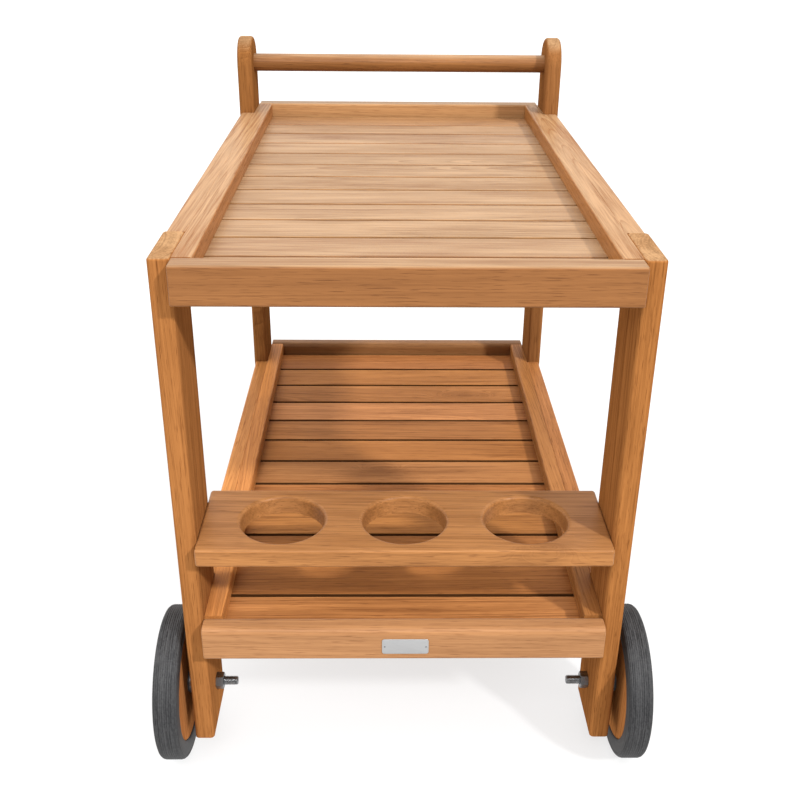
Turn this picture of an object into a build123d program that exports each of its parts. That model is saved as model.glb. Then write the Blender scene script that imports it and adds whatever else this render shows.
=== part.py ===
from build123d import *
import os

# Serving cart: two slatted trays on four flat legs, a round handle bar at the back, a bottle board
# at the front and two wheels on bolt axles.
# Millimetres, +Z up, front towards -Y, floor at Z = 0, origin in the middle of the floor area.

# Trays
cart_width = 532.0  # over the outer faces of the legs
tray_length = 890.0  # over the front and back rails
upper_tray_top = 687.0
lower_tray_top = 233.0
end_rail_thickness = 28.0
front_rail_lap = 8.0  # front rail beside the front legs
tongue_wall = 14.0  # side rail wood between a leg and the slat groove
tenon_length = 14.0  # side rail end let into an end rail
tenon_height = 26.0
tenon_shoulder = 5.0  # side rail wood outside the tenon
rail_edge = 3.0
upper_seam_edge = 0.2  # eased edges where a side strip meets its rail
lower_seam_edge = 0.6
upper_end_rail_edge = 3.5
lower_end_rail_edge = 9.0
end_rail_corner = 2.0

# Slats, with their ends housed in grooves in the side rails
slat_count = 12
slat_gap = 5.0
slat_thickness = 15.0
slat_drop = 22.0  # from the rail tops down to the slats
slat_housing = 8.0  # depth of the groove that holds the slat ends
groove_floor = 7.0  # side rail wood below the groove
slat_edge = 1.5

# Legs
leg_thickness = 24.0
front_leg_depth = 95.0
back_leg_depth = 83.0
leg_proud = 2.5  # leg face outside the side rail face
leg_edge = 5.0
leg_top_edge = 3.0
leg_below_axle = 53.5  # front leg below the axle
front_leg_rise = 1.0  # front leg above the upper rails

# Handle bar
handle_rise = 75.0  # middle of the bar above the upper rails
handle_diameter = 28.0
handle_socket = 12.0

# Bottle board
board_rise = 112.0  # top of the board above the lower rails
board_thickness = 23.0
board_overhang = 18.0  # in front of the front legs
board_edge = 3.5
board_corner = 4.0
bottle_hole_count = 3
bottle_hole_diameter = 100.0
bottle_hole_margin = 17.5  # board in front of and behind the holes
bottle_hole_edge = 5.0

# Wheels
wheel_diameter = 195.0
wheel_gap = 9.5  # between a front leg and its wheel
tyre_width = 30.0
tyre_thickness = 22.5
tyre_shoulder = 6.0
tread_groove_count = 4
tread_groove_width = 1.2
tread_groove_depth = 1.0
disc_recess = 2.0  # disc face inside the tyre's side
disc_edge = 2.0
bush_diameter = 28.0

# Axles
axle_diameter = 12.0
axle_tip = 1.5  # chamfer on the free end
axle_free_end = 18.0  # thread beyond the nut
hex_width = 19.0  # across the flats of bolt heads and nuts
hex_chamfer = 1.2  # turned off the corners of bolt heads and nuts
bolt_head_height = 7.5
nut_height = 10.0
washer_diameter = 32.0
washer_thickness = 2.5
sleeve_diameter = 18.0
sleeve_collar_diameter = 30.0

# Screws through the legs, under wooden plugs
screw_diameter = 5.0
screw_head_diameter = 9.5
screw_head_height = 4.0
screw_cover = 2.0  # wood between a screw tip and the slat groove
board_screw_spacing = 40.0
plug_diameter = 10.0
plug_depth = 7.0

# Clearances
glue_gap = 0.05  # round a fixed pin in its hole
running_gap = 0.05  # round the sleeve in the wheel bush
end_play = 0.3  # at each end of the wheel bush

# Widths, from the middle of the cart outwards
leg_outer = cart_width / 2
leg_inner = leg_outer - leg_thickness
rail_outer = leg_outer - leg_proud
rail_inner = leg_inner - tongue_wall - slat_housing

# Lengths, from front to back
wheel_radius = wheel_diameter / 2
board_depth = bottle_hole_diameter + 2 * bottle_hole_margin
leg_setback = end_rail_thickness - front_rail_lap
front_reach = max(
    0.0,
    wheel_radius - leg_setback - front_leg_depth / 2,
    board_overhang - leg_setback,
)
tray_front = (front_reach - tray_length) / 2
tray_back = tray_front + tray_length
well_front = tray_front + end_rail_thickness
well_back = tray_back - end_rail_thickness
front_leg_front = tray_front + leg_setback
axle_y = front_leg_front + front_leg_depth / 2
handle_y = well_back - back_leg_depth / 2
board_y = front_leg_front - board_overhang + board_depth / 2

# Heights
rail_height = slat_drop + slat_thickness + groove_floor
axle_z = wheel_radius
front_leg_bottom = axle_z - leg_below_axle
handle_height = upper_tray_top + handle_rise
board_top = lower_tray_top + board_rise
slat_fit = 2 * glue_gap
seam_edges = {upper_tray_top: upper_seam_edge, lower_tray_top: lower_seam_edge}

pieces = {}


def rail_z(tray_top):
    return tray_top - rail_height / 2


def from_leg_face(side, y, z):
    # Local X runs inwards from the outer face of a leg, and is the axis of a screw or an axle.
    return Location((side * leg_outer, y, z), (0, 0, 180 if side > 0 else 0))


def turned(outline):
    # A solid of revolution about local X, from its outline in X and radius.
    return revolve(make_face(Polyline(*outline, close=True)), Axis.X)


def ring(start, end, inner, outer):
    return turned([(start, inner), (end, inner), (end, outer), (start, outer)])


def rod(start, end, radius):
    return ring(start, end, 0.0, radius)


def screw_places():
    # One screw in each joint of a leg and a side rail, and two in each end of the bottle board.
    rails = (rail_z(upper_tray_top), rail_z(lower_tray_top))
    board_z = board_top - board_thickness / 2
    step = board_screw_spacing / 2
    places = [(leg_y, z) for leg_y in (axle_y, handle_y) for z in rails]
    return places + [(axle_y - step, board_z), (axle_y + step, board_z)]


# The screws, in local X from the outer face of the leg
screw_head_end = plug_depth + screw_head_height
screw_tip = leg_thickness + tongue_wall - screw_cover


def screw():
    radius = screw_diameter / 2
    head = rod(plug_depth, screw_head_end, screw_head_diameter / 2)
    return head + rod(screw_head_end, screw_tip, radius)


def screw_hole():
    bore = screw_diameter / 2 + glue_gap
    mouth = plug_diameter / 2 + glue_gap
    return turned([
        (-leg_proud, 0),
        (-leg_proud, mouth),
        (screw_head_end, mouth),
        (screw_head_end, bore),
        (screw_tip, bore),
        (screw_tip, 0),
    ])


def bored(body, side, cutter, places):
    for y, z in places:
        body = body - from_leg_face(side, y, z) * cutter
    return body


def tenons(tray_top, gap):
    # The reduced ends of both side rails, or with a gap the mortises that take them.
    thickness = tongue_wall - tenon_shoulder + 2 * gap
    length = tray_length - 2 * (end_rail_thickness - tenon_length) + 2 * gap
    x = leg_inner - tenon_shoulder - (tongue_wall - tenon_shoulder) / 2
    block = Box(thickness, length, tenon_height + 2 * gap)
    middle = (tray_front + tray_back) / 2
    return {side: Pos(side * x, middle, rail_z(tray_top)) * block for side in (-1, 1)}


def side_board(side, open_face, front, back, tray_top):
    # A straight board from the seam at the legs' inner faces to its open face, which is rounded.
    away = side if open_face > leg_inner else -side
    width = abs(open_face - leg_inner)
    section = Pos(width / 2, 0) * Rectangle(width, rail_height)
    section = fillet(section.vertices().group_by(Axis.X)[-1], rail_edge)
    section = chamfer(section.vertices().group_by(Axis.X)[0], seam_edges[tray_top])
    middle = (side * leg_inner, (front + back) / 2, rail_z(tray_top))
    seam = Plane(middle, x_dir=(away, 0, 0), z_dir=(0, -away, 0))
    return extrude(seam * section, (back - front) / 2, both=True)


def side_rail(side, tray_top):
    # Full length inside the legs, with a groove for the slats and a tenon at each end.
    rail = side_board(side, rail_inner, well_front, well_back, tray_top)
    groove_height = slat_thickness + slat_fit
    groove = Pos(side * rail_inner, 0, tray_top - slat_drop + slat_fit - groove_height / 2) * Box(
        2 * slat_housing, tray_length, groove_height
    )
    rail = rail + tenons(tray_top, 0)[side] - groove
    return bored(rail, side, screw_hole(), screw_places())


def side_strip(side, tray_top):
    # Glued to the side rail between the legs, so that the tray's side comes out almost to their faces.
    front = front_leg_front + front_leg_depth
    back = well_back - back_leg_depth
    return side_board(side, rail_outer, front, back, tray_top)


def end_rail(y, tray_top, edge):
    # A board with rounded top edges and eased ends, mortised for the side rails.
    section = Rectangle(end_rail_thickness, rail_height)
    section = fillet(section.vertices().group_by(Axis.Y)[-1], edge)
    section = fillet(section.vertices().group_by(Axis.Y)[0], rail_edge)
    board = extrude(Plane.YZ * Pos(y, rail_z(tray_top)) * section, leg_inner, both=True)
    board = fillet(board.faces().filter_by(Axis.X).edges(), end_rail_corner)
    for mortise in tenons(tray_top, glue_gap).values():
        board = board - mortise
    return board


def slat(tray_top, index):
    pitch = (well_back - well_front) / slat_count
    board = Box(2 * (rail_inner + slat_housing - glue_gap), pitch - slat_gap, slat_thickness)
    board = fillet(board.edges().filter_by(Axis.X).group_by(Axis.Z)[-1], slat_edge)
    y = well_front + pitch * (index + 0.5)
    return Pos(0, y, tray_top - slat_drop - slat_thickness / 2) * board


def leg_x(side):
    return side * (leg_outer - leg_thickness / 2)


def front_leg(side):
    height = upper_tray_top + front_leg_rise - front_leg_bottom
    board = extrude(RectangleRounded(leg_thickness, front_leg_depth, leg_edge), height)
    board = fillet(board.edges().group_by(Axis.Z)[-1], leg_top_edge)
    board = Pos(leg_x(side), axle_y, front_leg_bottom) * board
    board = bored(board, side, rod(0, leg_thickness, axle_diameter / 2 + glue_gap), [(axle_y, axle_z)])
    return bored(board, side, screw_hole(), screw_places())


def back_leg(side):
    # Straight sides up to a half round about the handle bar.
    half = back_leg_depth / 2
    outline = Polyline((-half, handle_height), (-half, 0), (half, 0), (half, handle_height))
    top = ThreePointArc((half, handle_height), (0, handle_height + half), (-half, handle_height))
    section = Plane.YZ * make_face([outline, top])
    board = extrude(section, leg_thickness / 2, both=True)
    rims = board.faces().filter_by(Axis.X).edges()
    board = fillet([edge for edge in rims if edge.center().Z > leg_edge], leg_edge)
    board = Pos(leg_x(side), handle_y, 0) * board
    socket = rod(leg_thickness - handle_socket, leg_thickness, handle_diameter / 2 + glue_gap)
    board = bored(board, side, socket, [(handle_y, handle_height)])
    return bored(board, side, screw_hole(), screw_places())


def handle_bar():
    half = leg_inner + handle_socket - glue_gap
    return Pos(0, handle_y, handle_height) * rod(-half, half, handle_diameter / 2)


def bottle_board():
    width = 2 * leg_inner
    board = extrude(RectangleRounded(width, board_depth, board_corner), board_thickness)
    levels = board.edges().group_by(Axis.Z)
    board = fillet(levels[-1] + levels[0], board_edge)
    margin = (width - bottle_hole_count * bottle_hole_diameter) / (bottle_hole_count + 1)
    pitch = margin + bottle_hole_diameter
    radius = bottle_hole_diameter / 2
    edge = bottle_hole_edge
    wall = Polyline((radius + edge, board_thickness), (0, board_thickness), (0, 0), (radius, 0),
                    (radius, board_thickness - edge))
    lip = RadiusArc((radius, board_thickness - edge), (radius + edge, board_thickness), edge)
    hole = revolve(Plane.XZ * make_face([wall, lip]), Axis.Z)
    first = -pitch * (bottle_hole_count - 1) / 2
    for index in range(bottle_hole_count):
        board = board - Pos(first + pitch * index, 0, 0) * hole
    board = Pos(0, board_y, board_top - board_thickness) * board
    for side in (-1, 1):
        board = bored(board, side, screw_hole(), screw_places())
    return board


# The axle, in local X from the outer face of the leg, with the wheel on the negative side
wheel_inner_face = -wheel_gap
wheel_outer_face = wheel_inner_face - tyre_width
washer_face = wheel_outer_face - end_play
bolt_head_face = washer_face - washer_thickness
nut_face = leg_thickness
axle_end = nut_face + nut_height + axle_free_end
disc_radius = wheel_radius - tyre_thickness
axle_bore = axle_diameter / 2 + glue_gap


def tyre():
    # Rounded shoulders and a flat tread with grooves that run round the wheel.
    seat = disc_radius + glue_gap
    inner = wheel_inner_face
    outer = wheel_outer_face
    crown = wheel_radius
    bend = tyre_shoulder
    half = tyre_width / 2 - bend
    middle = (inner + outer) / 2
    tread = []
    for index in range(tread_groove_count):
        centre = middle - half + 2 * half * (index + 0.5) / tread_groove_count
        tread += [
            (centre - tread_groove_width / 2, crown),
            (centre, crown - tread_groove_depth),
            (centre + tread_groove_width / 2, crown),
        ]
    outline = [
        Polyline((outer + bend, crown), *tread, (inner - bend, crown)),
        RadiusArc((inner - bend, crown), (inner, crown - bend), bend),
        Polyline((inner, crown - bend), (inner, seat), (outer, seat), (outer, crown - bend)),
        RadiusArc((outer, crown - bend), (outer + bend, crown), bend),
    ]
    return revolve(make_face(outline), Axis.X)


def wheel_disc():
    start = wheel_outer_face + disc_recess
    end = wheel_inner_face - disc_recess
    bore = bush_diameter / 2 + glue_gap
    return turned([
        (start, bore),
        (end, bore),
        (end, disc_radius - disc_edge),
        (end - disc_edge, disc_radius),
        (start + disc_edge, disc_radius),
        (start, disc_radius - disc_edge),
    ])


def wheel_bush():
    return ring(wheel_outer_face, wheel_inner_face, sleeve_diameter / 2 + running_gap, bush_diameter / 2)


def axle_sleeve():
    # Clamped between the leg and the washer, so that the nut is tight and the wheel still turns.
    collar_face = wheel_inner_face + end_play
    return turned([
        (washer_face, axle_bore),
        (0, axle_bore),
        (0, sleeve_collar_diameter / 2),
        (collar_face, sleeve_collar_diameter / 2),
        (collar_face, sleeve_diameter / 2),
        (washer_face, sleeve_diameter / 2),
    ])


def washer():
    return ring(bolt_head_face, washer_face, axle_bore, washer_diameter / 2)


def hexagon(start, end):
    # A hexagonal prism with its corners turned off at both ends.
    prism = extrude(Plane.YZ * RegularPolygon(hex_width / 2, 6, major_radius=False), end - start)
    corner = hex_width / 3**0.5
    length = end - start
    blank = turned([
        (0, 0),
        (0, corner - hex_chamfer),
        (hex_chamfer / 2, corner),
        (length - hex_chamfer / 2, corner),
        (length, corner - hex_chamfer),
        (length, 0),
    ])
    return Pos(start, 0, 0) * (prism & blank)


def axle_bolt():
    radius = axle_diameter / 2
    shank = turned([
        (bolt_head_face, 0),
        (bolt_head_face, radius),
        (axle_end - axle_tip, radius),
        (axle_end, radius - axle_tip),
        (axle_end, 0),
    ])
    return shank + hexagon(bolt_head_face - bolt_head_height, bolt_head_face)


def axle_nut():
    nut_end = nut_face + nut_height
    return hexagon(nut_face, nut_end) - rod(nut_face, nut_end, axle_bore)


sides = {"left": -1, "right": 1}
tray_tops = {"upper": upper_tray_top, "lower": lower_tray_top}
end_rail_places = {
    "front": tray_front + end_rail_thickness / 2,
    "back": tray_back - end_rail_thickness / 2,
}
end_rail_edges = {"upper": upper_end_rail_edge, "lower": lower_end_rail_edge}

for tray, tray_top in tray_tops.items():
    for name, side in sides.items():
        pieces[f"{tray}_side_rail_{name}"] = side_rail(side, tray_top)
        pieces[f"{tray}_side_strip_{name}"] = side_strip(side, tray_top)
    for name, y in end_rail_places.items():
        pieces[f"{tray}_{name}_rail"] = end_rail(y, tray_top, end_rail_edges[tray])
    for index in range(slat_count):
        pieces[f"{tray}_slat_{index + 1:02d}"] = slat(tray_top, index)

wheel_parts = {"wheel_disc": wheel_disc(), "tyre": tyre(), "wheel_bush": wheel_bush()}
axle_parts = {"axle_sleeve": axle_sleeve(), "axle_bolt": axle_bolt(), "axle_nut": axle_nut()}

for name, side in sides.items():
    pieces[f"front_leg_{name}"] = front_leg(side)
    pieces[f"back_leg_{name}"] = back_leg(side)
    axle = from_leg_face(side, axle_y, axle_z)
    for part, solid in {**wheel_parts, **axle_parts}.items():
        pieces[f"{part}_{name}"] = axle * solid

pieces["handle_bar"] = handle_bar()
pieces["bottle_board"] = bottle_board()

screw_seats = [from_leg_face(side, y, z) for side in sides.values() for y, z in screw_places()]
pieces["leg_screws"] = Compound([seat * screw() for seat in screw_seats])
pieces["screw_plugs"] = Compound([seat * rod(0, plug_depth, plug_diameter / 2) for seat in screw_seats])
pieces["axle_washers"] = Compound(
    [from_leg_face(side, axle_y, axle_z) * washer() for side in sides.values()]
)

os.makedirs("parts", exist_ok=True)
for node, solid in pieces.items():
    export_step(solid, f"parts/{node}.step")
print(len(pieces), "nodes")
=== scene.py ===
import math

import bpy
import numpy as np
from mathutils import Euler, Matrix, Vector


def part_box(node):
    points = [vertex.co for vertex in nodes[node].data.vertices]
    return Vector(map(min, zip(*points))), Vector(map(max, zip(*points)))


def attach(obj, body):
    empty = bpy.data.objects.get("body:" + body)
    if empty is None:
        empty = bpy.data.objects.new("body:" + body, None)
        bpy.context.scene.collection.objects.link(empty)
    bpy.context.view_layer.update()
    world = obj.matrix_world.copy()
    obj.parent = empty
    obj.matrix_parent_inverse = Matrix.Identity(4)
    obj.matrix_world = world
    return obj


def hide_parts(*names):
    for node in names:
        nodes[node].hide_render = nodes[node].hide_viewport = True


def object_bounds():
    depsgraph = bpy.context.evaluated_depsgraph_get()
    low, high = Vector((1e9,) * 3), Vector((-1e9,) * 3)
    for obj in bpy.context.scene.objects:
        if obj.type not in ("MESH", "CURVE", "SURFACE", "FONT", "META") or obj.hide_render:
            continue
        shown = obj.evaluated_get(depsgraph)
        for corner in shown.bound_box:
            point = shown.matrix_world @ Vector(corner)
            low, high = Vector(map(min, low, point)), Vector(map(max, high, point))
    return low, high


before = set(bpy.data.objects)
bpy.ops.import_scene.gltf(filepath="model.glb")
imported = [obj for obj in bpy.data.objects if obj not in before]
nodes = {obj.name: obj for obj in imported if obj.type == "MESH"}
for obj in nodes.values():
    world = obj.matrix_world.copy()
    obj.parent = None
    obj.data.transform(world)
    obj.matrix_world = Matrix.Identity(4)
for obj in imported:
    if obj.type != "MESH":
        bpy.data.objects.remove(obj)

# Slatted teak serving cart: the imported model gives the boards, this script gives them their finish,
# and adds the ribbed tyres, the threaded axle bolts and the bare plate on the lower front rail.
cadLow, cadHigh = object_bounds()
mm = 0.001
sides = {"left": -1, "right": 1}
print("frame:", len(nodes), "nodes")


# Camera at the photograph's place, for a square picture: metres, degrees, and millimetres for the lens
cameraView = {
    "location": (-0.02393, -1.41330, 1.02605),
    "pitch": -26.345,
    "yaw": -0.954,
    "roll": -0.517,
    "lens": 46.61,
    "sensor": 36.0,
}


def addCamera(view):
    data = bpy.data.cameras.new("camera")
    data.lens = view["lens"]
    data.sensor_width = view["sensor"]
    camera = bpy.data.objects.new("camera", data)
    turns = [("Z", view["yaw"]), ("X", view["pitch"]), ("Y", view["roll"]), ("X", 90)]
    placed = Matrix.Translation(view["location"])
    for axis, angle in turns:
        placed = placed @ Matrix.Rotation(math.radians(angle), 4, axis)
    camera.matrix_world = placed
    bpy.context.scene.collection.objects.link(camera)
    bpy.context.scene.camera = camera


addCamera(cameraView)
print("camera set")


# Node helpers
def addNode(tree, kind, links=None, **settings):
    # links maps an input's name or number to a value or to the output that feeds it
    node = tree.nodes.new("ShaderNode" + kind)
    for name, value in settings.items():
        setattr(node, name, value)
    for name, value in (links or {}).items():
        if isinstance(value, bpy.types.NodeSocket):
            tree.links.new(value, node.inputs[name])
        else:
            node.inputs[name].default_value = value
    return node


def addMath(tree, operation, a, b=0.0, clamp=False):
    node = addNode(tree, "Math", {0: a, 1: b}, operation=operation, use_clamp=clamp)
    return node.outputs[0]


def addVector(tree, operation, a, b=(0.0, 0.0, 0.0)):
    return addNode(tree, "VectorMath", {0: a, 1: b}, operation=operation).outputs


def addMix(tree, factor, a, b, blend="MIX"):
    links = {0: factor, 6: a, 7: b}  # the colour sockets of a node that also mixes numbers and vectors
    return addNode(tree, "Mix", links, data_type="RGBA", blend_type=blend).outputs[2]


def addNoise(tree, vector, waves, detail=2.0, rough=0.5):
    # Noise with its own number of waves per metre on each axis, so that it can run long in one direction
    spread = addVector(tree, "MULTIPLY", vector, waves)[0]
    links = {"Vector": spread, "Scale": 1.0, "Detail": detail, "Roughness": rough}
    return addNode(tree, "TexNoise", links).outputs


def addRamp(tree, value, stops):
    ramp = addNode(tree, "ValToRGB", {0: value})
    marks = ramp.color_ramp.elements
    while len(marks) < len(stops):
        marks.new(0.5)
    for mark, (place, shade) in zip(marks, stops):
        mark.position = place
        mark.color = (shade, shade, shade, 1.0)
    return ramp.outputs[0]


def addRange(tree, value, low, high, toLow=0.0, toHigh=1.0):
    links = {0: value, 1: low, 2: high, 3: toLow, 4: toHigh}
    return addNode(tree, "MapRange", links, interpolation_type="SMOOTHSTEP").outputs[0]


def addRelief(tree, look, height):
    links = {"Strength": look["relief"], "Distance": look["reliefDepth"], "Height": height}
    return addNode(tree, "Bump", links).outputs[0]


def newGroup(name, inputs, outputs):
    group = bpy.data.node_groups.new(name, "ShaderNodeTree")
    for way, sockets in (("INPUT", inputs), ("OUTPUT", outputs)):
        for label, kind, value in sockets:
            socket = group.interface.new_socket(label, in_out=way, socket_type="NodeSocket" + kind)
            if value is not None:
                socket.default_value = value
    entry = group.nodes.new("NodeGroupInput")
    leave = group.nodes.new("NodeGroupOutput")
    return group, entry.outputs, leave.inputs


# Teak: growth rings about a pith that runs along local X, bent round a knot where there is one,
# with fine and wide streaks, pores and cloudy tone
teakGrain = {
    # Noises: waves per metre along the grain and both ways across it, then detail and roughness
    "drift": ((1.7, 9.0, 9.0), 2.0, 0.5),
    "fine": ((6.0, 420.0, 420.0), 3.0, 0.62),
    "wide": ((2.2, 105.0, 105.0), 3.0, 0.55),
    "cloud": ((4.0, 24.0, 24.0), 3.0, 0.55),
    "pore": ((34.0, 1150.0, 1150.0), 1.0, 0.5),
    # Rings: shades over one year, and the slow change of their width
    "ringShades": [(0.0, 0.1), (0.12, 0.95), (0.5, 0.72), (0.85, 0.42), (1.0, 0.1)],
    "ringMiddle": 0.6,
    "seasonWaves": 70.0,
    "seasonDepth": 3.0,
    "knotStretch": (26.0, 75.0, 75.0),
    "knotDark": 12.0,
    "weights": {"fine": 1.7, "wide": 0.9, "cloud": 1.0},
    "poreEdge": (0.6, 0.72),
    "poreShade": 0.5,
    "endGrainEdge": (0.6, 0.95),
    "endGrainShade": 0.35,
    # Painted sheen: upward faces are paled to stand in for the sheen of light on them; shades of dark and
    # light streaks, how steeply a face must look up, and what holds it back
    "sheenShades": (0.66, 1.26),
    "upEdge": (0.45, 0.9),
    "sheenByCloud": (0.3, 0.7, 0.8, 1.0),
    "sheenByTone": (0.05, 0.55, 0.35, 1.0),
    "sheenOnEndGrain": 2.8,
    # Painted shade on the slats' side faces in the gaps: how far a face must turn sideways, and its colour
    "gapEdge": (0.4, 0.85),
    "gapShadeTone": (0.020, 0.008, 0.003, 1.0),
    "roughness": 0.42,
    "roughByTone": -0.12,
    "roughInPores": 0.12,
    "fineHeight": 0.6,
}


def makeTeakFigure(look):
    group, given, result = newGroup(
        "teakFigure",
        [
            ("Vector", "Vector", None),
            ("Normal", "Vector", None),
            ("Ring width", "Float", 0.004),
            ("Wander", "Float", 0.006),
            ("Ring depth", "Float", 0.4),
            ("Streak depth", "Float", 1.0),
            ("Cloud depth", "Float", 0.8),
            ("Knot place", "Vector", None),
            ("Knot bulge", "Float", 0.0),
            ("Light wood", "Color", (0.6, 0.28, 0.1, 1.0)),
            ("Dark wood", "Color", (0.3, 0.1, 0.03, 1.0)),
            ("Sheen wood", "Color", (0.3, 0.18, 0.1, 1.0)),
            ("Fade", "Float", 0.0),
            ("Up", "Float", 0.0),
            ("Gap shade", "Float", 0.0),
        ],
        [("Color", "Color", None), ("Roughness", "Float", None), ("Height", "Float", None)],
    )
    place = given["Vector"]
    drift = addNoise(group, place, *look["drift"])["Color"]
    drift = addVector(group, "SUBTRACT", drift, (0.5, 0.5, 0.5))[0]
    links = {0: drift, "Scale": given["Wander"]}
    drift = addNode(group, "VectorMath", links, operation="SCALE").outputs[0]
    grown = addVector(group, "ADD", place, drift)[0]

    # The knot swells the rings by a bell of the distance from it, long in the direction of the grain
    toKnot = addVector(group, "SUBTRACT", grown, given["Knot place"])[0]
    toKnot = addVector(group, "MULTIPLY", toKnot, look["knotStretch"])[0]
    span = addVector(group, "DOT_PRODUCT", toKnot, toKnot)["Value"]
    bell = addMath(group, "EXPONENT", addMath(group, "MULTIPLY", span, -1.0))
    bulge = addMath(group, "MULTIPLY", bell, given["Knot bulge"])

    across = addVector(group, "MULTIPLY", grown, (0.0, 1.0, 1.0))[0]
    radius = addVector(group, "LENGTH", across)["Value"]
    radius = addMath(group, "ADD", radius, bulge)
    links = {"W": addMath(group, "MULTIPLY", radius, look["seasonWaves"])}
    seasons = addNode(group, "TexNoise", links, noise_dimensions="1D").outputs[0]
    years = addMath(group, "DIVIDE", radius, given["Ring width"])
    years = addMath(group, "ADD", years, addMath(group, "MULTIPLY", seasons, look["seasonDepth"]))
    ring = addRamp(group, addMath(group, "FRACT", years), look["ringShades"])

    # Tone from 0, dark, to 1, light: rings, streaks and clouds about a half, less the knot
    streaks = {name: addNoise(group, grown, *look[name])[0] for name in look["weights"]}
    depths = {"fine": "Streak depth", "wide": "Streak depth", "cloud": "Cloud depth"}
    tone = addMath(group, "SUBTRACT", ring, look["ringMiddle"])
    tone = addMath(group, "MULTIPLY", tone, given["Ring depth"])
    for name, weight in look["weights"].items():
        part = addMath(group, "SUBTRACT", streaks[name], 0.5)
        part = addMath(group, "MULTIPLY", part, given[depths[name]])
        tone = addMath(group, "ADD", tone, addMath(group, "MULTIPLY", part, weight))
    tone = addMath(group, "SUBTRACT", tone, addMath(group, "MULTIPLY", bulge, look["knotDark"]))
    tone = addMath(group, "ADD", tone, 0.5, clamp=True)
    colour = addMix(group, tone, given["Dark wood"], given["Light wood"])
    pore = addRange(group, addNoise(group, place, *look["pore"])[0], *look["poreEdge"])
    poreShade = addMath(group, "MULTIPLY", pore, look["poreShade"])
    colour = addMix(group, poreShade, colour, given["Dark wood"], "MULTIPLY")

    facing = addNode(group, "SeparateXYZ", {0: given["Normal"]}).outputs
    endGrain = addMath(group, "ABSOLUTE", facing[0])
    endGrain = addRange(group, endGrain, *look["endGrainEdge"], 0.0, look["endGrainShade"])
    colour = addMix(group, endGrain, colour, given["Dark wood"])

    # Painted sheen: faces that look up are paled as if lit and shining, most of all in cloudy patches
    shades = addRange(group, tone, 0.0, 1.0, *look["sheenShades"])
    sheenColour = addMix(group, 1.0, given["Sheen wood"], shades, "MULTIPLY")
    blendIn = addMath(group, "MULTIPLY", addRange(group, given["Up"], *look["upEdge"]), given["Fade"])
    blendIn = addMath(group, "MULTIPLY", blendIn, addRange(group, streaks["cloud"], *look["sheenByCloud"]))
    # Dark streaks get less of the painted sheen, but not on end grain
    lightStreaks = addRange(group, tone, *look["sheenByTone"])
    ends = addMath(group, "MULTIPLY", endGrain, look["sheenOnEndGrain"])
    blendIn = addMath(group, "MULTIPLY", blendIn, addMath(group, "MAXIMUM", lightStreaks, ends))
    colour = addMix(group, blendIn, colour, sheenColour)

    # Painted shade: the long side faces of the slats are darkened where they face into the gaps
    gapShadeMask = addRange(group, addMath(group, "ABSOLUTE", facing[1]), *look["gapEdge"])
    gapShadeMask = addMath(group, "MULTIPLY", gapShadeMask, given["Gap shade"])
    colour = addMix(group, gapShadeMask, colour, look["gapShadeTone"])

    rough = addMath(group, "MULTIPLY", tone, look["roughByTone"])
    rough = addMath(group, "ADD", rough, look["roughness"])
    rough = addMath(group, "ADD", rough, addMath(group, "MULTIPLY", pore, look["roughInPores"]))
    height = addMath(group, "MULTIPLY", streaks["fine"], look["fineHeight"])
    height = addMath(group, "SUBTRACT", height, pore)
    for label, value in (("Color", colour), ("Roughness", rough), ("Height", height)):
        group.links.new(value, result[label])
    return group


teakFigure = makeTeakFigure(teakGrain)

# How each sort of board is sawn and finished: grain axis, middle tone, contrast, spread from board to board,
# how much painted sheen pales its upper face and how much it shines
teakSorts = {
    "upperSlat": {
        "grain": "X", "tone": (0.284, 0.130, 0.045), "contrast": 0.34,
        "spread": 0.06, "blendIn": 1.0, "shine": 0.5,
    },
    "lowerSlat": {
        "grain": "X", "tone": (0.308, 0.118, 0.034), "contrast": 0.42,
        "spread": 0.10, "blendIn": 0.0, "shine": 0.1,
    },
    "endRail": {
        "grain": "X", "tone": (0.231, 0.093, 0.0275), "contrast": 0.22,
        "spread": 0.04, "blendIn": 1.0, "shine": 0.3,
    },
    "sideRail": {
        "grain": "Y", "tone": (0.305, 0.120, 0.035), "contrast": 0.30,
        "spread": 0.04, "blendIn": 0.9, "shine": 0.15,
    },
    "leg": {
        "grain": "Z", "tone": (0.290, 0.110, 0.032), "contrast": 0.30,
        "spread": 0.03, "blendIn": 0.9, "shine": 0.0,
    },
    "bar": {
        "grain": "X", "tone": (0.235, 0.095, 0.029), "contrast": 0.30,
        "spread": 0.03, "blendIn": 0.8, "shine": 0.4,
    },
    "board": {
        "grain": "X", "tone": (0.286, 0.117, 0.036), "contrast": 0.34,
        "spread": 0.03, "blendIn": 0.15, "shine": 0.3,
    },
    "disc": {
        "grain": "Z", "tone": (0.355, 0.135, 0.040), "contrast": 0.38,
        "spread": 0.03, "blendIn": 0.0, "shine": 0.0,
    },
    "plug": {
        "grain": "Y", "tone": (0.200, 0.078, 0.024), "contrast": 0.30,
        "spread": 0.03, "blendIn": 0.0, "shine": 0.3,
    },
}
grainTurns = {"X": (0, 0, 0), "Y": (0, 0, -90), "Z": (0, 90, 0)}
# Colour of the painted sheen on upward faces
sheenTone = np.array((0.284, 0.168, 0.085))
# Shares of the contrast that light and dark streaks add to red, green and blue
streakTints = {"Light wood": np.array((0.8, 1.0, 1.2)), "Dark wood": np.array((-1.0, -1.1, -1.15))}
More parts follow.
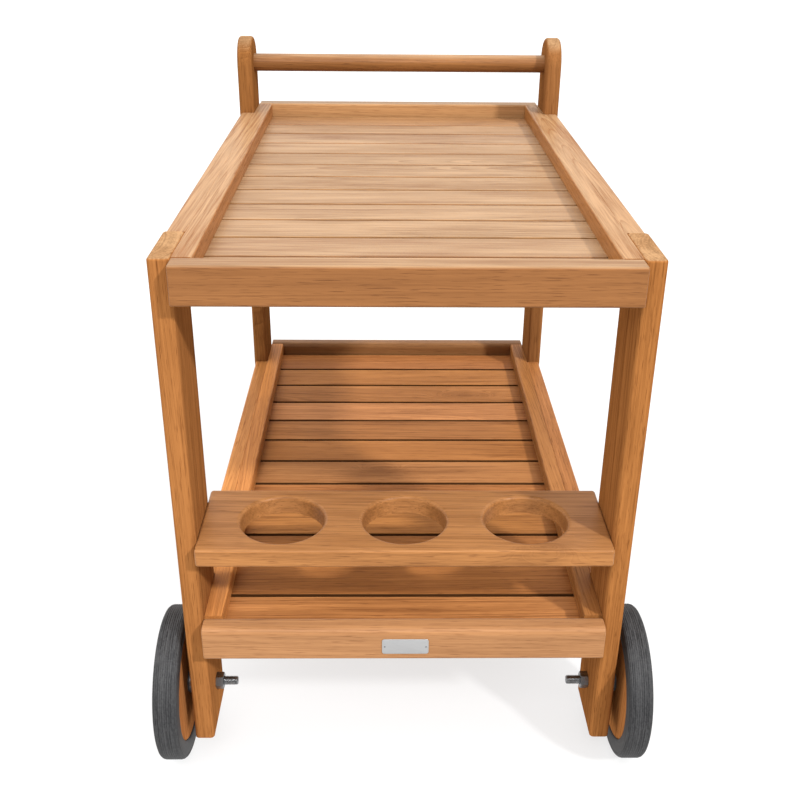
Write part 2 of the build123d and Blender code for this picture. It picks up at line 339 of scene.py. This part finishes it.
# Boards that stand out from their sort, as factors on red, green and blue
boardShades = {
    "palest": np.array((1.80, 2.35, 3.35)),
    "pale": np.array((1.42, 1.66, 2.20)),
    "light": np.array((1.50, 1.50, 1.46)),
    "blond": np.array((1.20, 1.27, 1.40)),
    "grey": np.array((0.92, 1.05, 1.30)),
    "dark": np.array((0.74, 0.76, 0.78)),
}
boardShade = {
    "upper_back_rail": "palest",
    "lower_front_rail": "pale",
    # The lower left rail and strip are lightened: partly a lighter board, partly painted light where the sun
    # leaves them in the upper tray's shadow
    "lower_side_rail_left": "light",
    "lower_side_strip_left": "light",
    "lower_back_rail": "grey",
    "lower_slat_09": "blond",
    "lower_slat_06": "blond",
    "lower_slat_01": "blond",
    "back_leg_left": "dark",
    "back_leg_right": "dark",
}
# Upper slats that get less painted sheen than the rest, as a factor on it
slatSheen = {"upper_slat_12": 0.35, "upper_slat_11": 0.8}
# Painted shade in the slat gaps, as a share for each sort
gapShade = {"upperSlat": 0.2, "lowerSlat": 0.85}
# Knots, in metres from the middle of the board
knots = {
    "upper_slat_10": (-0.11, 0.004, 0.006),
    "upper_slat_11": (-0.13, -0.006, 0.006),
    "lower_slat_06": (-0.03, 0.01, 0.006),
    "lower_slat_10": (0.12, -0.008, 0.006),
    "bottle_board": (0.16, -0.055, 0.01),
}
knotBulge = 0.028
# What each board draws for itself: turns in degrees, the pith's place in metres, tint and figure
boardDraws = {
    "spin": (0, 360),
    "slope": (-1.6, 1.6),
    "pith": [(-3, 3), (0.05, 0.16), (-0.05, 0.05)],
    "tint": [(1, 0.97, 0.92), (1, 1.03, 1.08)],
    "figure": {
        "Ring width": (0.0032, 0.0056),
        "Wander": (0.006, 0.016),
        "Ring depth": (0.3, 0.7),
        "Streak depth": (0.7, 1.1),
        "Cloud depth": (0.8, 1.3),
    },
}
teakSurface = {"ior": 1.3, "relief": 0.25, "reliefDepth": 0.4 * mm}
draw = np.random.default_rng(26)


def turnBy(degrees):
    return Euler([math.radians(angle) for angle in degrees])


def opaque(colour):
    return (*colour, 1.0)


def teakMaterial(name, sort, middle):
    # One board: its own place in the log, its own slope of grain and its own tone
    kind = teakSorts[sort]
    material = bpy.data.materials.new(name + "Teak")
    material.use_nodes = True
    tree = material.node_tree
    shader = tree.nodes["Principled BSDF"]
    slope = turnBy((draw.uniform(*boardDraws["spin"]), *draw.uniform(*boardDraws["slope"], 2)))
    along = turnBy(grainTurns[kind["grain"]])
    turn = slope.to_matrix() @ along.to_matrix()
    pith = Vector([draw.uniform(*ends) for ends in boardDraws["pith"]])
    where = addNode(tree, "TexCoord").outputs
    links = {"Location": pith - turn @ middle, "Rotation": turn.to_euler(), "Vector": where["Object"]}
    place = addNode(tree, "Mapping", links).outputs[0]
    links = {"Rotation": along, "Vector": where["Normal"]}
    facing = addNode(tree, "Mapping", links, vector_type="VECTOR").outputs[0]
    up = addNode(tree, "SeparateXYZ", {0: where["Normal"]}).outputs[2]

    spread = draw.uniform(1 - kind["spread"], 1 + kind["spread"])
    shade = spread * boardShades.get(boardShade.get(name), 1.0)
    tint = np.array(kind["tone"]) * shade * draw.uniform(*boardDraws["tint"])
    values = {label: draw.uniform(*ends) for label, ends in boardDraws["figure"].items()}
    for label, share in streakTints.items():
        values[label] = opaque(tint * (1 + kind["contrast"] * share))
    values["Sheen wood"] = opaque(sheenTone * spread)
    values["Fade"] = 0.0 if name.startswith("lower") else kind["blendIn"] * slatSheen.get(name, 1.0)
    values["Gap shade"] = gapShade.get(sort, 0.0)
    values["Knot place"] = pith + turn @ Vector(knots.get(name, (0, 0, 0)))
    values["Knot bulge"] = knotBulge if name in knots else 0.0

    links = {"Vector": place, "Normal": facing, "Up": up}
    figure = tree.nodes.new("ShaderNodeGroup")
    figure.node_tree = teakFigure
    for label, value in values.items():
        figure.inputs[label].default_value = value
    for label, output in links.items():
        tree.links.new(output, figure.inputs[label])
    relief = addRelief(tree, teakSurface, figure.outputs["Height"])
    tree.links.new(figure.outputs["Color"], shader.inputs["Base Color"])
    tree.links.new(figure.outputs["Roughness"], shader.inputs["Roughness"])
    tree.links.new(relief, shader.inputs["Normal"])
    shader.inputs["IOR"].default_value = teakSurface["ior"]
    shader.inputs["Specular IOR Level"].default_value = kind["shine"]
    return material


def sortOf(node):
    for part, sort in (
        ("upper_slat", "upperSlat"), ("lower_slat", "lowerSlat"), ("side_", "sideRail"),
        ("front_rail", "endRail"), ("back_rail", "endRail"), ("leg_screws", None), ("_leg_", "leg"),
        ("handle_bar", "bar"), ("bottle_board", "board"), ("wheel_disc", "disc"), ("plugs", "plug"),
    ):
        if part in node:
            return sort
    return None


def wear(piece, material):
    piece.data.materials.clear()
    piece.data.materials.append(material)


teakCount = 0
for node in sorted(nodes):
    sort = sortOf(node)
    if sort:
        low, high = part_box(node)
        # An upper strip carries on the grain of its rail, as if sawn from the same board
        mate = node.replace("strip", "rail")
        if mate != node and node.startswith("upper"):
            material = nodes[mate].data.materials[0]
        else:
            material = teakMaterial(node, sort, (low + high) / 2)
        wear(nodes[node], material)
        teakCount += 1
print("teak:", teakCount, "nodes")


# Rubber, plated steel, plastic and brushed plate. Each noise has waves per metre, detail and roughness.
noiseMiddle = (0.3, 0.7)  # where nearly all of a noise lies


def plainMaterial(name, values):
    material = bpy.data.materials.new(name)
    material.use_nodes = True
    shader = material.node_tree.nodes["Principled BSDF"]
    for label, value in values.items():
        shader.inputs[label].default_value = value
    return material, material.node_tree, shader


rubberLook = {
    "ior": 1.5,
    "shine": 0.35,
    "slow": ((26.0, 26.0, 26.0), 3.0),
    "slowDepth": 6 * mm,
    "streak": ((420.0, 420.0, 900.0), 3.0, 0.65),
    "dust": ((420.0, 420.0, 420.0), 3.0, 0.65),
    "streakShare": 0.6,
    "dustShare": 0.4,
    "shadeEdge": (0.36, 0.66),
    "dark": (0.004, 0.004, 0.005, 1.0),
    "light": (0.050, 0.050, 0.051, 1.0),
    "roughness": (0.5, 0.72),
    "relief": 0.2,
    "reliefDepth": 0.3 * mm,
}


def rubberMaterial(name, centre, look):
    # Streaks that run round the wheel: noise on the radius and the width, with a slow change round it
    material, tree, shader = plainMaterial(name, {"IOR": look["ior"], "Specular IOR Level": look["shine"]})
    where = addNode(tree, "TexCoord").outputs["Object"]
    place = addNode(tree, "Mapping", {"Location": -centre, "Vector": where}).outputs[0]
    across = addVector(tree, "MULTIPLY", place, (0.0, 1.0, 1.0))[0]
    radius = addVector(tree, "LENGTH", across)["Value"]
    width = addNode(tree, "SeparateXYZ", {0: place}).outputs[0]
    slow = addMath(tree, "MULTIPLY", addNoise(tree, place, *look["slow"])[0], look["slowDepth"])
    ringPlace = addNode(tree, "CombineXYZ", {0: width, 1: radius, 2: slow}).outputs[0]
    streak = addNoise(tree, ringPlace, *look["streak"])[0]
    dust = addNoise(tree, place, *look["dust"])[0]
    streakPart = addMath(tree, "MULTIPLY", streak, look["streakShare"])
    dustPart = addMath(tree, "MULTIPLY", dust, look["dustShare"])
    both = addMath(tree, "ADD", streakPart, dustPart)
    colour = addMix(tree, addRange(tree, both, *look["shadeEdge"]), look["dark"], look["light"])
    tree.links.new(colour, shader.inputs["Base Color"])
    tree.links.new(addRange(tree, both, *noiseMiddle, *look["roughness"]), shader.inputs["Roughness"])
    tree.links.new(addRelief(tree, look, dust), shader.inputs["Normal"])
    return material


steelLook = {
    "spots": ((190.0, 190.0, 190.0), 4.0, 0.6),
    "dark": (0.14, 0.145, 0.15, 1.0),
    "light": (0.29, 0.295, 0.30, 1.0),
    "roughness": (0.42, 0.26),
}


def steelMaterial(look):
    material, tree, shader = plainMaterial("platedSteel", {"Metallic": 1.0})
    where = addNode(tree, "TexCoord").outputs["Object"]
    spots = addNoise(tree, where, *look["spots"])[0]
    colour = addMix(tree, addRange(tree, spots, *noiseMiddle), look["dark"], look["light"])
    tree.links.new(colour, shader.inputs["Base Color"])
    tree.links.new(addRange(tree, spots, *noiseMiddle, *look["roughness"]), shader.inputs["Roughness"])
    return material


plasticLook = {
    "ior": 1.52,
    "specks": ((600.0, 600.0, 600.0), 3.0, 0.6),
    "dark": (0.020, 0.020, 0.021, 1.0),
    "light": (0.040, 0.040, 0.042, 1.0),
    "roughness": (0.4, 0.55),
}


def plasticMaterial(look):
    material, tree, shader = plainMaterial("bushPlastic", {"IOR": look["ior"]})
    where = addNode(tree, "TexCoord").outputs["Object"]
    specks = addNoise(tree, where, *look["specks"])[0]
    colour = addMix(tree, specks, look["dark"], look["light"])
    tree.links.new(colour, shader.inputs["Base Color"])
    tree.links.new(addRange(tree, specks, *noiseMiddle, *look["roughness"]), shader.inputs["Roughness"])
    return material


plateMetal = {
    "metallic": 0.85,
    "brush": ((60.0, 3000.0, 3000.0), 2.0, 0.6),  # brushed along X
    "dark": (0.36, 0.36, 0.36, 1.0),
    "light": (0.48, 0.48, 0.48, 1.0),
    "roughness": (0.3, 0.45),
    "relief": 0.08,
    "reliefDepth": 0.1 * mm,
}


def plateMaterial(look):
    material, tree, shader = plainMaterial("brushedPlate", {"Metallic": look["metallic"]})
    where = addNode(tree, "TexCoord").outputs["Object"]
    brush = addNoise(tree, where, *look["brush"])[0]
    colour = addMix(tree, brush, look["dark"], look["light"])
    tree.links.new(colour, shader.inputs["Base Color"])
    tree.links.new(addRange(tree, brush, *noiseMiddle, *look["roughness"]), shader.inputs["Roughness"])
    tree.links.new(addRelief(tree, look, brush), shader.inputs["Normal"])
    return material


steel = steelMaterial(steelLook)
plastic = plasticMaterial(plasticLook)
for node in sorted(nodes):
    if node.startswith("wheel_bush"):
        wear(nodes[node], plastic)
    elif sortOf(node) is None and not node.startswith("tyre"):
        wear(nodes[node], steel)
print("other finishes set")


# Surfaces from grids: rows run along the shape, columns run round it and close on themselves
def gridPiece(name, points, body, material):
    # points is rows x columns x 3, and the first and last rows are closed by one face each
    rows, columns = points.shape[:2]
    first = np.arange(rows - 1)[:, None] * columns + np.arange(columns)[None, :]
    after = np.arange(rows - 1)[:, None] * columns + (np.arange(columns)[None, :] + 1) % columns
    quads = np.stack([first, after, after + columns, first + columns], axis=-1).reshape(-1, 4)
    ends = [np.arange(columns)[::-1].tolist(), (np.arange(columns) + (rows - 1) * columns).tolist()]
    mesh = bpy.data.meshes.new(name)
    mesh.from_pydata(points.reshape(-1, 3), [], quads.tolist() + ends)
    return finishPiece(name, mesh, body, material)


def ringPiece(name, points, body, material):
    # As above, but the last row joins the first, as in a tyre
    rows, columns = points.shape[:2]
    row, column = np.meshgrid(np.arange(rows), np.arange(columns), indexing="ij")
    nextRow, nextColumn = (row + 1) % rows, (column + 1) % columns
    corners = [row * columns + column, row * columns + nextColumn]
    corners += [nextRow * columns + nextColumn, nextRow * columns + column]
    mesh = bpy.data.meshes.new(name)
    mesh.from_pydata(points.reshape(-1, 3), [], np.stack(corners, axis=-1).reshape(-1, 4).tolist())
    return finishPiece(name, mesh, body, material)


def finishPiece(name, mesh, body, material):
    mesh.validate()
    mesh.update()
    mesh.shade_smooth()
    piece = bpy.data.objects.new(name, mesh)
    bpy.context.scene.collection.objects.link(piece)
    wear(piece, material)
    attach(piece, body)
    return piece


def turnedPoints(profile, centre, steps):
    # Profile points (x, radius) carried round the X axis: y = radius cos a, z = radius sin a
    angle = np.linspace(0, 2 * np.pi, steps, endpoint=False)
    x = np.repeat(profile[:, :1], steps, axis=1)
    y = profile[:, 1:] * np.cos(angle)
    z = profile[:, 1:] * np.sin(angle)
    return np.stack([x, y, z], axis=-1) + np.array(centre)


tyreLook = {
    "shoulder": 6 * mm,
    "ribs": 14,
    "ribDepth": 0.8 * mm,
    "ribFlatness": 0.35,  # power on the wave: smaller gives flatter ribs with narrower grooves
    "pointsPerRib": 8,
    "rimStep": 1.2 * mm,  # the sidewall's raised edge beside the tread
    "steps": 180,
}


def tyreProfile(look, halfWidth, radius, seat):
    # The tread runs flat across and down both shoulders as quarter circles, with the distance along it
    # as parameter, and ribs as a raised cosine of that distance cut inwards along the normal.
    bend = look["shoulder"]
    flat = 2 * (halfWidth - bend)
    quarter = bend * np.pi / 2
    whole = flat + 2 * quarter
    s = np.linspace(-whole / 2, whole / 2, look["ribs"] * look["pointsPerRib"] + 1)
    turn = np.clip((np.abs(s) - flat / 2) / bend, 0, np.pi / 2) * np.sign(s)
    wave = 0.5 - 0.5 * np.cos(2 * np.pi * look["ribs"] * (s + whole / 2) / whole)
    depth = look["ribDepth"] * (1 - wave ** look["ribFlatness"])
    x = np.clip(s, -flat / 2, flat / 2) + (bend - depth) * np.sin(turn)
    r = radius - bend + (bend - depth) * np.cos(turn)
    tread = np.stack([x, r], axis=1)
    # The sidewall goes down from the tread to the disc in multiples of its raised edge
    step = look["rimStep"]
    wall = np.array([
        (halfWidth - 0.2 * step, radius - bend - step),
        (halfWidth, radius - bend - 2 * step),
        (halfWidth, seat + 3 * step),
        (halfWidth - 0.6 * step, seat + 1.2 * step),
        (halfWidth - 1.2 * step, seat),
    ])
    return np.concatenate([tread, wall, (wall * [-1, 1])[::-1]])


def addTyre(look, name):
    low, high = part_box("tyre_" + name)
    middle = (low + high) / 2
    discLow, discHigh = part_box("wheel_disc_" + name)
    seat = (discHigh.z - discLow.z) / 2
    profile = tyreProfile(look, (high.x - low.x) / 2, (high.z - low.z) / 2, seat)
    points = turnedPoints(profile, middle, look["steps"])
    rubber = rubberMaterial("tyreRubber" + name.title(), middle, rubberLook)
    piece = ringPiece("ribbed_tyre_" + name, points, "wheel_" + name, rubber)
    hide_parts("tyre_" + name)


for name in sides:
    addTyre(tyreLook, name)
print("tyres made")


boltLook = {
    "shank": 6 * mm,
    "pitch": 1.75 * mm,
    "threadDepth": 1.0 * mm,
    "threadRoundness": 0.8,  # power on the V of the groove: smaller gives a rounder one
    "threadLength": 34 * mm,
    "tip": 1.6 * mm,
    "hexWidth": 19 * mm,
    "headHeight": 7.5 * mm,
    "headChamfer": 1.3 * mm,
    "chamferSlope": 2,
    "rowsPerPitch": 8,
    "columns": 72,
    "underHead": 0.001 * mm,  # between the rows on both sides of the step under the head
}


def boltRadius(look, s, angle, length):
    # Radius as a function of the distance from the head's outer face and of the angle: a hexagon under a
    # chamfer cone on the head, a plain shank, and a helical V thread that runs on to a cone at the free end.
    hexagon = look["hexWidth"] / 2 / np.cos((angle + np.pi / 6) % (np.pi / 3) - np.pi / 6)
    corner = look["hexWidth"] / np.sqrt(3)
    head = np.minimum(hexagon, corner - look["headChamfer"] + look["chamferSlope"] * s)
    turn = (s / look["pitch"] - angle / (2 * np.pi)) % 1.0
    groove = look["threadDepth"] * (1 - np.abs(2 * turn - 1)) ** look["threadRoundness"]
    threadStart = length - look["threadLength"]
    blendIn = np.clip((s - threadStart) / look["pitch"], 0, 1)
    thread = look["shank"] - groove * blendIn
    tip = look["shank"] - look["tip"] + (length - s)
    return np.where(s <= look["headHeight"], head, np.minimum(thread, tip))


def addBolt(look, name, side):
    low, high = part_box("axle_bolt_" + name)
    length = high.x - low.x
    shoulder = look["headHeight"]
    threadRows = int(look["threadLength"] / look["pitch"] * look["rowsPerPitch"])
    s = np.concatenate([
        np.linspace(0, look["headChamfer"] / look["chamferSlope"], 3),
        [shoulder, shoulder + look["underHead"]],
        np.linspace(length - look["threadLength"] - look["pitch"], length, threadRows),
    ])[:, None]
    angle = np.linspace(0, 2 * np.pi, look["columns"], endpoint=False)[None, :]
    radius = boltRadius(look, s, angle, length)
    outer = high.x if side > 0 else low.x
    middle = (low + high) / 2
    x = outer - side * s + 0 * angle
    y = middle.y + radius * np.cos(angle)
    z = middle.z + radius * np.sin(angle) * -side
    points = np.stack([x, y, z], axis=-1)
    piece = gridPiece("threaded_bolt_" + name, points, "cart", steel)
    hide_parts("axle_bolt_" + name)


for name, side in sides.items():
    addBolt(boltLook, name, side)
print("bolts made")


plateLook = {
    "width": 56 * mm,
    "height": 21.5 * mm,
    "corner": 3 * mm,
    "thick": 1.0 * mm,
    "bevel": 0.35 * mm,
    "middleX": 1.5 * mm,
    "aboveRailFoot": 20 * mm,
    "pinInset": 3.2 * mm,
    "pinRadius": 1.1 * mm,
    "pinRise": 0.5 * mm,
    "pinRows": 7,
    "pinColumns": 20,
    "pinTop": 0.97,  # share of the dome's quarter circle, above which one flat face closes it
}


def roundedOutline(width, height, corner, perCorner=10):
    # A rounded rectangle: four corner centres, each with a quarter circle of directions added to it
    angle = (np.arange(4)[:, None] + np.linspace(0, 1, perCorner)[None, :]) * np.pi / 2
    signs = np.array([(1, 1), (-1, 1), (-1, -1), (1, -1)])
    centre = signs * [width / 2 - corner, height / 2 - corner]
    outline = centre[:, None, :] + corner * np.stack([np.cos(angle), np.sin(angle)], axis=-1)
    return outline.reshape(-1, 2)


def addPlate(look):
    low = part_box("lower_front_rail")[0]
    middleZ = low.z + look["aboveRailFoot"]
    outline = roundedOutline(look["width"], look["height"], look["corner"])
    size = np.array([look["width"], look["height"]])
    # Rows from the back of the plate to its face: each has its inset from the edge and its rise off the rail
    bevel, thick = look["bevel"], look["thick"]
    insets = np.array([0.0, 0.0, 0.3 * bevel, bevel])
    rises = np.array([0.0, thick - bevel, thick - 0.3 * bevel, thick])
    flat = outline[None, :, :] * (1 - 2 * insets[:, None, None] / size)
    x = look["middleX"] + flat[..., 0]
    z = middleZ + flat[..., 1]
    y = low.y - rises[:, None] + 0 * x
    metal = plateMaterial(plateMetal)
    gridPiece("bare_plate", np.stack([x, y, z], axis=-1), "cart", metal)
    # Pin heads: a dome, radius = r cos t and rise = h sin t
    t = np.linspace(0, look["pinTop"], look["pinRows"])[:, None] * np.pi / 2
    angle = np.linspace(0, 2 * np.pi, look["pinColumns"], endpoint=False)
    ring = look["pinRadius"] * np.cos(t)
    for name, side in sides.items():
        x = look["middleX"] + side * (look["width"] / 2 - look["pinInset"]) + ring * np.cos(angle)
        z = middleZ + ring * np.sin(angle)
        y = low.y - thick - look["pinRise"] * np.sin(t) + 0 * x
        gridPiece("plate_pin_" + name, np.stack([x, y, z], axis=-1), "cart", steel)


addPlate(plateLook)
print("plate made")


# Floor and light. Azimuths run from the front towards the right, elevations up from the floor, in degrees.
studio = {
    "floorSize": 40.0,
    "floorColour": (0.2, 0.2, 0.2, 1.0),
    "floorRoughness": 0.9,
    "floorGlow": 0.7,
    "white": (1.0, 1.0, 1.0, 1.0),
    "wallShade": 0.93,
    "wallGlow": {"right": 0.35, "left": 1.9, "back": 0.85, "front": 0.0, "top": 2.7},
    "sun": {"azimuth": 42, "elevation": 39, "strength": 3.0, "spread": 4.5, "place": (0.0, 0.0, 3.0)},
    "softbox": {
        "azimuth": -8, "elevation": 40, "distance": 3.2,
        "width": 1.6, "height": 0.8, "power": 40,
    },
}


def lightDirection(look):
    around, up = math.radians(look["azimuth"]), math.radians(look["elevation"])
    return Vector((math.sin(around) * math.cos(up), -math.cos(around) * math.cos(up), math.sin(up)))


def addFloor(look):
    half = look["floorSize"] / 2
    corners = [(-half, -half, 0), (half, -half, 0), (half, half, 0), (-half, half, 0)]
    mesh = bpy.data.meshes.new("floor")
    mesh.from_pydata(corners, [], [(0, 1, 2, 3)])
    floor = bpy.data.objects.new("floor", mesh)
    bpy.context.scene.collection.objects.link(floor)
    pale = {
        "Base Color": look["floorColour"],
        "Roughness": look["floorRoughness"],
        "Emission Color": look["white"],
        "Emission Strength": look["floorGlow"],
    }
    wear(floor, plainMaterial("paleFloor", pale)[0])


def addSky(look):
    # The glow from a direction: each wall's own glow times the square of the direction's part towards it
    world = bpy.data.worlds.new("studio")
    world.use_nodes = True
    tree = world.node_tree
    direction = addNode(tree, "SeparateXYZ", {0: addNode(tree, "TexCoord").outputs["Generated"]})
    walls = {"right": (0, 1), "left": (0, -1), "back": (1, 1), "front": (1, -1), "top": (2, 1)}
    glow = 0.0
    for wall, (axis, sign) in walls.items():
        towards = addMath(tree, "MAXIMUM", addMath(tree, "MULTIPLY", direction.outputs[axis], sign), 0.0)
        share = addMath(tree, "MULTIPLY", addMath(tree, "POWER", towards, 2.0), look["wallGlow"][wall])
        glow = addMath(tree, "ADD", share, glow)
    # The camera sees an even pale wall behind the floor, whichever wall gives the light
    seen = addNode(tree, "LightPath").outputs["Is Camera Ray"]
    change = addMath(tree, "MULTIPLY", seen, addMath(tree, "SUBTRACT", look["wallShade"], glow))
    glow = addMath(tree, "ADD", glow, change)
    sky = tree.nodes["Background"]
    sky.inputs["Color"].default_value = look["white"]
    tree.links.new(glow, sky.inputs["Strength"])
    bpy.context.scene.world = world


def addLamp(name, kind, look, place):
    lamp = bpy.data.lights.new(name, kind)
    holder = bpy.data.objects.new(name, lamp)
    holder.location = place
    holder.rotation_euler = lightDirection(look).to_track_quat("Z", "Y").to_euler()
    bpy.context.scene.collection.objects.link(holder)
    return lamp


def addSun(look):
    lamp = addLamp("keySun", "SUN", look, look["place"])
    lamp.energy = look["strength"]
    lamp.angle = math.radians(look["spread"])


def addSoftbox(look):
    middle = (cadLow + cadHigh) / 2
    lamp = addLamp("softbox", "AREA", look, middle + lightDirection(look) * look["distance"])
    lamp.shape = "RECTANGLE"
    lamp.size = look["width"]
    lamp.size_y = look["height"]
    lamp.energy = look["power"]


addFloor(studio)
addSky(studio)
addSun(studio["sun"])
addSoftbox(studio["softbox"])
bpy.context.scene.view_settings.view_transform = "Standard"
print("studio set")
